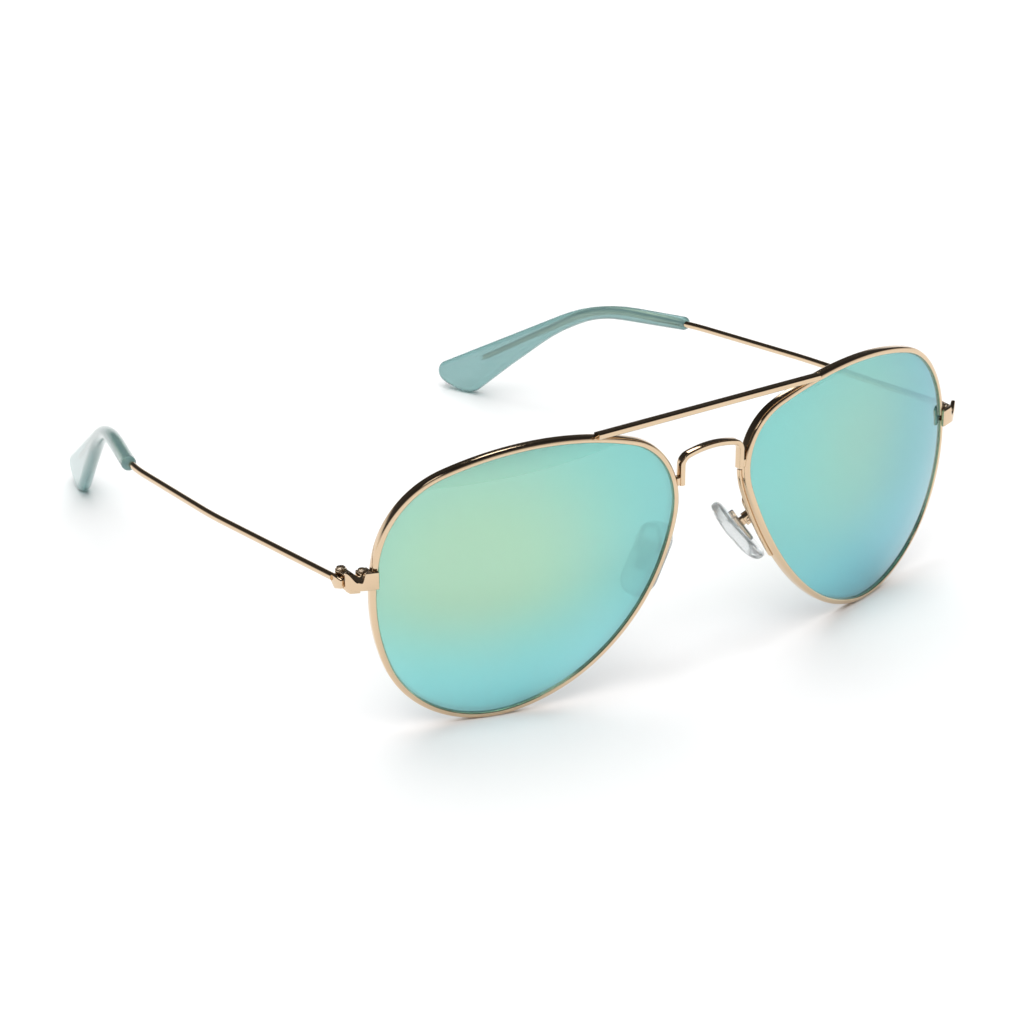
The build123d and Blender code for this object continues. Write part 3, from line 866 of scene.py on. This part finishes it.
def build_solder(shape):
    """Two small blocks between the bridge's feet and the rims."""
    for side in (1, -1):
        low_x, high_x = sorted((side * BRIDGE_LEG_X, side * SOLDER_OUTER_X))
        low = (low_x, BRIDGE_FRONT_Y + 0.3, BRIDGE_LEG_BOTTOM)
        high = (high_x, BRIDGE_FRONT_Y + BAR_DEPTH - 0.1, BRIDGE_LEG_BOTTOM + SOLDER_HEIGHT)
        rounded_block(shape, low, high, SOLDER_BEVEL)


bridge_y = BRIDGE_FRONT_Y + BAR_DEPTH / 2
bridge_route = rounded_route(
    [
        (BRIDGE_LEG_X, bridge_y, BRIDGE_LEG_BOTTOM),
        (BRIDGE_LEG_X, bridge_y, BRIDGE_SHOULDER_Z),
        (0, bridge_y, BRIDGE_CREST_Z),
        (-BRIDGE_LEG_X, bridge_y, BRIDGE_SHOULDER_Z),
        (-BRIDGE_LEG_X, bridge_y, BRIDGE_LEG_BOTTOM),
    ],
    BRIDGE_BENDS,
)
bridge_wire = swept(bridge_route, BAR_DEPTH, BRIDGE_WIDTH, BAR_CORNER, (0, 1, 0), GOLD)
bridge = joined(bridge_wire, new_mesh("solder", build_solder, GOLD))
place_piece("saddle_bridge", bridge, "left", "front", ["bridge"])
print("bridge:", len(bridge.polygons), "faces")

# %% [markdown]
# ## End pieces
# A strip wraps from the rim's front round to the side.  It is lofted from rounded sections, so its
# top can dip in a smooth scoop, and its ends are drawn in a little to round them.
# %% End piece mesh
END_PIECE_ROUTE = [(64.35, 10.15, 0), (67.3, 11.2, 0), (69.5, 13.1, 0)]
END_PIECE_BEND = 3.0
END_PIECE_THICKNESS = 0.8
END_PIECE_BOTTOM = 1.65
END_PIECE_TOP = 5.1
END_PIECE_CORNER = 0.24
SCOOP_MIDDLE = 3.3
SCOOP_DEPTH = 1.75
SCOOP_FLAT = 0.35
SCOOP_RIM_REACH = 0.95
SCOOP_HINGE_REACH = 2.5
SCOOP_BACK_SHARE = 0.4
TAIL_LENGTH = 1.3
TAIL_RISE = 0.3


def rounded_rectangle(width, height, radius, steps=5):
    """Points round a rectangle with rounded corners, centred on its origin."""
    points = []
    for corner in range(4):
        sign_x = 1 if corner in (0, 3) else -1
        sign_y = 1 if corner in (0, 1) else -1
        for i in range(steps + 1):
            angle = math.pi / 2 * (corner + i / steps)
            x = sign_x * (width / 2 - radius) + radius * math.cos(angle)
            y = sign_y * (height / 2 - radius) + radius * math.sin(angle)
            points.append((x, y))
    return points


def smooth_step(value, low, high):
    """0 below low, 1 above high and an S between."""
    t = min(1, max(0, (value - low) / (high - low)))
    return t * t * (3 - 2 * t)


def even_stations(route, spacing):
    """Points and directions at even distances along a route."""
    stations = []
    run = 0.0
    wanted = 0.0
    for a, b in zip(route, route[1:]):
        length = (b - a).length
        while length > 0 and wanted <= run + length:
            stations.append((wanted, a + (b - a) * ((wanted - run) / length), (b - a).normalized()))
            wanted += spacing
        run += length
    stations.append((run, route[-1], (route[-1] - route[-2]).normalized()))
    return stations


def build_end_piece(shape):
    """Strip with a scooped top and softened ends."""
    route = rounded_route(END_PIECE_ROUTE, [END_PIECE_BEND])
    stations = even_stations(route, 0.08)
    length = stations[-1][0]
    rings = []
    for distance, place, direction in stations:
        reach = SCOOP_RIM_REACH if distance < SCOOP_MIDDLE else SCOOP_HINGE_REACH
        dip = 1 - smooth_step(abs(distance - SCOOP_MIDDLE), SCOOP_FLAT, reach)
        bottom = END_PIECE_BOTTOM + TAIL_RISE * smooth_step(distance, length - TAIL_LENGTH, length)
        end_gap = min(distance, length - distance)
        inset = END_PIECE_CORNER * (1 - math.sqrt(max(0, 1 - (1 - min(1, end_gap / END_PIECE_CORNER)) ** 2)))
        across = Vector((direction.y, -direction.x, 0))
        width = END_PIECE_THICKNESS - 2 * inset
        height = END_PIECE_TOP - bottom - 2 * inset
        middle = (END_PIECE_TOP + bottom) / 2
        corner = min(END_PIECE_CORNER, width * 0.49)
        ring = []
        for x, z in rounded_rectangle(width, height, corner):
            frontness = smooth_step(x, -width / 2, width / 4)
            drop = SCOOP_DEPTH * dip * (SCOOP_BACK_SHARE + (1 - SCOOP_BACK_SHARE) * frontness)
            lowered = z - drop if z > 0 else z
            ring.append(place + across * x + Vector((0, 0, middle + lowered)))
        rings.append(ring)
    loft(shape, rings)


place_pair("end_piece", new_mesh("end_piece", build_end_piece, GOLD), "front", "end_piece")

# %% [markdown]
# ## Closing blocks and hinges
# The closing block is two small drilled halves.  The hinge has two knuckles on the front and one on
# the temple between them.  Turned barrels, flat arms and a root plate make them up.
# %% Closing blocks
CLOSING_BLOCK_X = (64.9, 67.2)
CLOSING_BLOCK_Y = (11.7, 13.5)
CLOSING_BLOCK_HEIGHT = 1.2
BLOCK_BEVEL = 0.15
block_lows = {
    "upper": RIM_SPLIT_HEIGHT + RIM_SPLIT_GAP / 2,
    "lower": RIM_SPLIT_HEIGHT - RIM_SPLIT_GAP / 2 - CLOSING_BLOCK_HEIGHT,
}
for half, block_low in block_lows.items():

    def build_block(shape, low=block_low):
        """One half of the closing block."""
        bottom = (CLOSING_BLOCK_X[0], CLOSING_BLOCK_Y[0], low)
        top = (CLOSING_BLOCK_X[1], CLOSING_BLOCK_Y[1], low + CLOSING_BLOCK_HEIGHT)
        rounded_block(shape, bottom, top, BLOCK_BEVEL)

    block = new_mesh("closing_block", build_block, GOLD)
    place_pair(f"{half}_closing_block", block, "front", f"closing_block_{half}")

# %% Hinge knuckles
KNUCKLE_RADIUS = 1.05
KNUCKLE_ROUNDING = 0.16
KNUCKLE_LOWER = (1.0, 1.95)
KNUCKLE_MIDDLE = (2.05, 3.1)
KNUCKLE_UPPER = (3.2, 4.0)
HINGE_ROOT = [(67.3, 11.6), (69.0, 12.3), (69.15, 13.7), (67.3, 13.7)]
HINGE_ARM_START_Y = 13.0
PIN_PLACE = Matrix.Translation((HINGE_PIN.x, HINGE_PIN.y, 0))
HINGE_BEVEL = 0.12


def build_hinge_front(shape):
    """Root plate with the upper and lower knuckles on their arms."""
    root = [(x, y, KNUCKLE_LOWER[0]) for x, y in HINGE_ROOT]
    bevelled_prism(shape, root, (0, 0, KNUCKLE_UPPER[1] - KNUCKLE_LOWER[0]), HINGE_BEVEL)
    reach = 0.8 * KNUCKLE_RADIUS
    for low, high in (KNUCKLE_LOWER, KNUCKLE_UPPER):
        turned(shape, barrel_profile(KNUCKLE_RADIUS, low, high, KNUCKLE_ROUNDING), PIN_PLACE)
        arm_low = (HINGE_PIN.x - reach, HINGE_ARM_START_Y, low + 0.02)
        arm_high = (HINGE_PIN.x + reach, HINGE_PIN.y, high - 0.02)
        rounded_block(shape, arm_low, arm_high, HINGE_BEVEL)


def build_temple_knuckle(shape):
    """Middle knuckle and the link to the temple's end cap."""
    low, high = KNUCKLE_MIDDLE
    turned(shape, barrel_profile(KNUCKLE_RADIUS, low, high, KNUCKLE_ROUNDING), PIN_PLACE)
    rounded_block(shape, (68.5, 15.6, low + 0.02), (69.6, 17.0, high - 0.02), HINGE_BEVEL)


hinge_front = new_mesh("hinge_front", build_hinge_front, GOLD)
temple_knuckle = new_mesh("temple_knuckle", build_temple_knuckle, GOLD)
place_pair("hinge_front", hinge_front, "front", "hinge_front")
place_pair("temple_knuckle", temple_knuckle, "temple", "temple_knuckle")

# %% [markdown]
# ## Temples
# A flat cap outside the hinge carries the round temple wire, which runs on inside the sleeve tip.
# The tip is a flat paddle: its outline is drawn from the side, and rings step in from the edge and
# out to the faces in a quarter circle, which rounds the whole edge.
# %% Temple cap and wire
CAP_X = (69.35, 70.15)
CAP_PROFILE = [(13.5, 1.85), (13.5, 3.5), (17.2, 3.45), (17.2, 2.2), (15.8, 1.0)]
CAP_BEVEL = 0.22
WIRE_RADIUS = 0.7
WIRE_ROUTE = [
    (69.75, 16.6, 2.85),
    (70.0, 60.0, -1.8),
    (68.0, 97.0, -5.65),
    (60.9, 120.5, -7.4),
    (51.3, 152.0, -27.7),
]
WIRE_BENDS = [150.0, 60.0, 40.0]


def build_cap(shape):
    """Flat end of the temple with softened edges."""
    profile = [(CAP_X[0], y, z) for y, z in CAP_PROFILE]
    bevelled_prism(shape, profile, (CAP_X[1] - CAP_X[0], 0, 0), CAP_BEVEL)


wire = swept(
    rounded_route(WIRE_ROUTE, WIRE_BENDS, 1.0),
    2 * WIRE_RADIUS,
    2 * WIRE_RADIUS,
    0.98 * WIRE_RADIUS,
    (0, 0, 1),
    GOLD,
    steps=7,
)
place_pair("temple_cap", new_mesh("cap", build_cap, GOLD), "temple", "temple_cap")
place_pair("temple_wire", wire, "temple", "temple_wire")

# %% Sleeve tips
TIP_ORIGIN = Vector((68.0, 97.0, 0.0))
TIP_DIRECTION = Vector((-0.29, 0.957, 0.0))
TIP_THICKNESS = 3.0
TIP_EDGE_ROUNDING = 1.45
TIP_CORNERS = [
    (0.0, -4.15),
    (25.5, -6.4),
    (74.3, -34.4),
    (68.3, -37.1),
    (61.5, -38.2),
    (50.0, -28.1),
    (36.0, -16.3),
    (24.0, -9.6),
    (0.0, -7.1),
]
TIP_ROUNDNESS = [1.35, 52.0, 2.6, 10.0, 7.0, 60.0, 60.0, 30.0, 1.35]
TIP_EDGE_STEPS = 7
TIP_ROUNDING_SHARE = 0.46
TIP_FLAT_MARGIN = 1.03


LOOP_SPACING = 1.5


def closed_route(corners, radii):
    """Loop of rounded corners as (point, outward direction), for a clockwise loop."""
    corners = [Vector((*corner, 0)) for corner in corners]
    count = len(corners)
    loop = []
    for i, radius in enumerate(radii):
        before, corner, after = corners[i - 1], corners[i], corners[(i + 1) % count]
        bend = rounded_route([before, corner, after], [radius], 4.0)[1:-1]
        arriving = (corner - before).normalized()
        leaving = (after - corner).normalized()
        for k, point in enumerate(bend):
            along = arriving.slerp(leaving, k / (len(bend) - 1))
            loop.append((point, Vector((-along.y, along.x, 0))))
        ahead = rounded_route([corner, after, corners[(i + 2) % count]], [radii[(i + 1) % count]])[1]
        gap = ahead - bend[-1]
        extra = int(gap.length / LOOP_SPACING)
        for k in range(extra):
            loop.append((bend[-1] + gap * ((k + 1) / (extra + 1)), Vector((-leaving.y, leaving.x, 0))))
    return loop


def room_inward(loop, index):
    """How far a point of the loop can go straight inward before it meets the other side."""
    start, out = loop[index]
    nearest = math.inf
    for (a, _), (b, _) in zip(loop, loop[1:] + loop[:1]):
        edge = b - a
        scale = out.x * edge.y - out.y * edge.x
        if abs(scale) < 1e-9:
            continue
        gap = start - a
        distance = (gap.x * edge.y - gap.y * edge.x) / scale
        share = (gap.x * out.y - gap.y * out.x) / scale
        if distance > 0.2 and 0 <= share <= 1:
            nearest = min(nearest, distance)
    return nearest


def edge_roundings(loop):
    """Rounding at each point: the full one on the paddle, half the height on the thin sleeve."""
    rough = [min(TIP_EDGE_ROUNDING, TIP_ROUNDING_SHARE * room_inward(loop, i)) for i in range(len(loop))]
    for _ in range(3):
        rough = [(rough[i - 1] + 2 * here + rough[(i + 1) % len(rough)]) / 4 for i, here in enumerate(rough)]
    return rough


def build_tip(shape):
    """Paddle with a fully rounded edge."""
    loop = closed_route(TIP_CORNERS, TIP_ROUNDNESS)
    roundings = edge_roundings(loop)
    side = TIP_DIRECTION.normalized().cross(Vector((0, 0, 1)))
    levels = [math.pi / 2 * k / TIP_EDGE_STEPS for k in range(-TIP_EDGE_STEPS, TIP_EDGE_STEPS + 1)]
    steps = [(1 - math.cos(angle), math.sin(angle)) for angle in levels]
    steps = [(TIP_FLAT_MARGIN, -1), *steps, (TIP_FLAT_MARGIN, 1)]
    rings = []
    for inset, share in steps:
        offset = TIP_THICKNESS / 2 * share
        ring = []
        for (point, out), rounding in zip(loop, roundings):
            flat = point - out * inset * rounding
            ring.append(TIP_ORIGIN + TIP_DIRECTION * flat.x + Vector((0, 0, flat.y)) + side * offset)
        rings.append(ring)
    loft(shape, rings)
    print("tip edge rounding", round(min(roundings), 2), "to", round(max(roundings), 2), "mm")


place_pair("temple_tip", new_mesh("tip", build_tip, ACETATE), "temple", "temple_tip")

# %% [markdown]
# ## Nose pads
# A clear pad is moulded round a small metal plate.  The plate's drilled post rocks on a cross screw
# in a box, and a looped wire holds the box behind the rim.  The pad is domed like a river pebble.
# %% Pad frame and the moulded pad
PAD_ORIGIN = Vector((10.1, 5.4, -3.7))
PAD_DOWN = Vector((0.558, -0.18, -0.814)).normalized()
PAD_AWAY = Vector((0.733, -0.342, 0.578)).normalized()
PAD_BACK = PAD_AWAY.cross(PAD_DOWN)
PAD_PLACE = Matrix.Translation(PAD_ORIGIN) @ Matrix((PAD_DOWN, PAD_BACK, PAD_AWAY)).transposed().to_4x4()
PAD_LENGTH = 14.6
PAD_WIDTH = 7.2
PAD_CORNER = 3.5
PAD_CENTRE_S = 1.1
PAD_FACE_N = -2.1
PAD_BACK_N = 0.7
PAD_RING_ANGLES = [0, 12, 25, 38, 50, 60, 69, 76, 82, 86]
PAD_DOME = 3.2
PAD_CURVE_RADIUS = 28.0
PAD_BOSS_LOW = (-2.6, -1.5, 0.3)
PAD_BOSS_HIGH = (3.8, 1.5, 1.4)


def build_pad(shape):
    """Pebble-shaped pad with a boss on its back."""
    outline = rounded_rectangle(PAD_LENGTH, PAD_WIDTH, PAD_CORNER, 12)
    middle = (PAD_FACE_N + PAD_BACK_N) / 2
    half = (PAD_BACK_N - PAD_FACE_N) / 2
    rings = []
    for sign in (-1, 1):
        angles = reversed(PAD_RING_ANGLES) if sign < 0 else PAD_RING_ANGLES[1:]
        for angle in angles:
            shrink = math.cos(math.radians(angle))
            height = middle + sign * half * (1 - shrink**PAD_DOME) ** (1 / PAD_DOME)
            ring = []
            for x, y in outline:
                along = PAD_CENTRE_S + x * shrink
                lower_half = max(0.0, along)
                curve = PAD_CURVE_RADIUS - math.sqrt(PAD_CURVE_RADIUS**2 - lower_half**2)
                ring.append(PAD_PLACE @ Vector((along, y * shrink, height + curve)))
            rings.append(ring)
    loft(shape, rings)
    rounded_block(shape, PAD_BOSS_LOW, PAD_BOSS_HIGH, 0.35, PAD_PLACE)


place_pair("nose_pad", new_mesh("nose_pad", build_pad, SILICONE), "pad", "nose_pad")

# %% Insert, box and arm
INSERT_LOW = (-2.1, -1.1, 0.5)
INSERT_HIGH = (3.3, 1.1, 1.1)
POST_LENGTH = 1.5
POST_WIDTH = 1.0
PAD_PIVOT_N = 2.9
EAR_INNER_T = 0.62
EAR_THICKNESS = 0.4
BOX_LENGTH = 1.8
BOX_BOTTOM_N = 2.0
BOX_WALL_N = 3.85
BOX_WALL = 0.4
CROSSWISE = Matrix.Translation((0, 0, PAD_PIVOT_N)) @ Matrix.Rotation(-math.pi / 2, 4, "X")


def build_insert(shape):
    """Plate inside the pad, with a round-headed post."""
    rounded_block(shape, INSERT_LOW, INSERT_HIGH, 0.12, PAD_PLACE)
    half = POST_LENGTH / 2
    rounded_block(shape, (-half, -POST_WIDTH / 2, 0.9), (half, POST_WIDTH / 2, PAD_PIVOT_N), 0.08, PAD_PLACE)
    head = barrel_profile(half, -POST_WIDTH / 2, POST_WIDTH / 2, 0.08)
    turned(shape, head, PAD_PLACE @ CROSSWISE, 32)


def build_pad_box(shape):
    """Channel of two ears and a back wall."""
    half = BOX_LENGTH / 2
    outer = EAR_INNER_T + EAR_THICKNESS
    top = BOX_WALL_N + BOX_WALL
    rounded_block(shape, (-half, -outer, BOX_WALL_N), (half, outer, top), 0.1, PAD_PLACE)
    rounded_block(shape, (-half, -outer, BOX_BOTTOM_N), (half, -EAR_INNER_T, top), 0.1, PAD_PLACE)
    rounded_block(shape, (-half, EAR_INNER_T, BOX_BOTTOM_N), (half, outer, top), 0.1, PAD_PLACE)


PAD_ARM_RADIUS = 0.45
PAD_ARM_ROOT = (11.5, 0.0, -3.6)
PAD_ARM_LOOP = [(9.9, 3.1, 2.6), (11.8, 4.9, 2.4)]
PAD_ARM_BEND = 0.9
PAD_FOOT_WIDTH = 0.3
PAD_FOOT_DEPTHS = (0.8, 1.65)
PAD_FOOT_RANGE = (-8.8, 10.2)


def make_pad_arm():
    """Foot strip on the rim's nose side, with the looped wire that rises from it."""
    box_end = PAD_PLACE @ Vector((BOX_LENGTH / 2, 0, BOX_WALL_N + BOX_WALL + PAD_ARM_RADIUS - 0.1))
    route = rounded_route([PAD_ARM_ROOT, *PAD_ARM_LOOP, box_end], [PAD_ARM_BEND, PAD_ARM_BEND], 10.0)
    loop = swept(route, 2 * PAD_ARM_RADIUS, 2 * PAD_ARM_RADIUS, 0.44, (1, 0, 0), GOLD)
    low, high = PAD_FOOT_RANGE
    edge = [p for p in outline_points(RIM_WIDTH + PAD_FOOT_WIDTH / 2) if p.x < 0 and low < p.y < high]
    depth = sum(PAD_FOOT_DEPTHS) / 2
    foot_path = [(p.x, p.y, -depth) for p in edge]
    thickness = PAD_FOOT_DEPTHS[1] - PAD_FOOT_DEPTHS[0]
    foot = swept(foot_path, thickness, PAD_FOOT_WIDTH + 0.1, 0.2, (0, 0, 1), GOLD)
    foot = run_tree(foot, BEND, Ball_radius=LENS_RADIUS, Finish=GOLD)
    foot.transform(LENS_PLACE)
    return joined(loop, foot)


place_pair("pad_insert", new_mesh("insert", build_insert, GOLD), "pad", "pad_insert")
place_pair("pad_box", new_mesh("pad_box", build_pad_box, GOLD), "front", "pad_box")
place_pair("pad_arm", make_pad_arm(), "front", "pad_arm")

# %% [markdown]
# ## Screws
# Three sorts of slotted screw repeat on both sides.  One is drawn with its head's underside at zero,
# and a Geometry Nodes tree sets it at two seats, each along its own direction.
# %% Tree that sets a screw at two seats


def make_screw_tree():
    """One screw at two seats, turned along their directions."""
    tree, given, made = new_group(
        "paired_screws",
        "GeometryNodeTree",
        [
            ("Screw", "NodeSocketGeometry", None),
            ("First seat", "NodeSocketVector", (0.0, 0.0, 0.0)),
            ("First direction", "NodeSocketVector", (0.0, 0.0, 1.0)),
            ("Second seat", "NodeSocketVector", (0.0, 0.0, 0.0)),
            ("Second direction", "NodeSocketVector", (0.0, 0.0, 1.0)),
            ("Finish", "NodeSocketMaterial", None),
        ],
        [("Screws", "NodeSocketGeometry")],
    )
    index = add_node(tree, "GeometryNodeInputIndex").outputs[0]
    chosen = {}
    for label in ("seat", "direction"):
        choose = add_node(tree, "ShaderNodeMix", data_type="VECTOR")
        feed(tree, choose.inputs["Factor"], index)
        feed(tree, choose.inputs[4], given.outputs[f"First {label}"])
        feed(tree, choose.inputs[5], given.outputs[f"Second {label}"])
        chosen[label] = choose.outputs[1]
    seats = add_node(tree, "GeometryNodePoints")
    feed(tree, seats.inputs["Count"], 2)
    feed(tree, seats.inputs["Position"], chosen["seat"])
    turn = add_node(tree, "FunctionNodeAlignRotationToVector", axis="Z")
    feed(tree, turn.inputs["Vector"], chosen["direction"])
    copies = add_node(tree, "GeometryNodeInstanceOnPoints")
    feed(tree, copies.inputs["Points"], seats.outputs[0])
    feed(tree, copies.inputs["Instance"], given.outputs["Screw"])
    feed(tree, copies.inputs["Rotation"], turn.outputs[0])
    realize = add_node(tree, "GeometryNodeRealizeInstances")
    feed(tree, realize.inputs[0], copies.outputs[0])
    finish = add_node(tree, "GeometryNodeSetMaterial")
    feed(tree, finish.inputs["Geometry"], realize.outputs[0])
    feed(tree, finish.inputs["Material"], given.outputs["Finish"])
    feed(tree, made.inputs["Screws"], finish.outputs["Geometry"])
    return tree


SCREWS = make_screw_tree()
print("tree:", SCREWS.name)

# %% Screw shape and the three sorts


def build_screw(shape, shaft, head, height, length, slot):
    """Screw with a low domed head cut by a slot, made of two half domes and a slot floor."""
    turned(shape, barrel_profile(shaft, -length, 0.05, 0.06), Matrix.Identity(4), 32)
    floor = height * 0.55
    turned(shape, barrel_profile(head, 0, floor, 0.06), Matrix.Identity(4), 48)
    half_slot = slot / 2
    for sign in (1, -1):
        rings = []
        for scale, level in ((0.985, floor - 0.02), (0.97, height * 0.8), (0.92, height * 0.95), (0.82, height)):
            radius = head * scale
            start = math.asin(half_slot / radius)
            ring = []
            for i in range(25):
                angle = start + (math.pi - 2 * start) * i / 24
                ring.append((radius * math.cos(angle), sign * radius * math.sin(angle), level))
            rings.append(ring if sign > 0 else list(reversed(ring)))
        loft(shape, rings)


SCREW_SORTS = {
    "hinge_screw": {
        "size": {"shaft": 0.5, "head": 0.85, "height": 0.35, "length": 3.0, "slot": 0.25},
        "seat": Vector((HINGE_PIN.x, HINGE_PIN.y, KNUCKLE_UPPER[1])),
        "direction": Vector((0, 0, 1)),
    },
    "closing_screw": {
        "size": {"shaft": 0.45, "head": 0.75, "height": 0.35, "length": 2.9, "slot": 0.25},
        "seat": Vector((66.35, 12.6, block_lows["upper"] + CLOSING_BLOCK_HEIGHT)),
        "direction": Vector((0, 0, 1)),
    },
    "pad_screw": {
        "size": {"shaft": 0.3, "head": 0.6, "height": 0.3, "length": 2.04, "slot": 0.18},
        "seat": PAD_PLACE @ Vector((0, -EAR_INNER_T - EAR_THICKNESS, PAD_PIVOT_N)),
        "direction": -PAD_BACK,
    },
}
for sort, screw in SCREW_SORTS.items():
    drawn = new_mesh(sort, lambda shape, size=screw["size"]: build_screw(shape, **size), SCREW_METAL)
    seat, direction = screw["seat"], screw["direction"]
    screws = run_tree(
        drawn,
        SCREWS,
        First_seat=seat,
        First_direction=direction,
        Second_seat=MIRRORED @ seat,
        Second_direction=MIRRORED.to_3x3() @ direction,
        Finish=SCREW_METAL,
    )
    place_piece(f"both_{sort}s", screws, "left", "front", [f"{sort}_left", f"{sort}_right"])
    print(sort, len(screws.polygons), "faces")
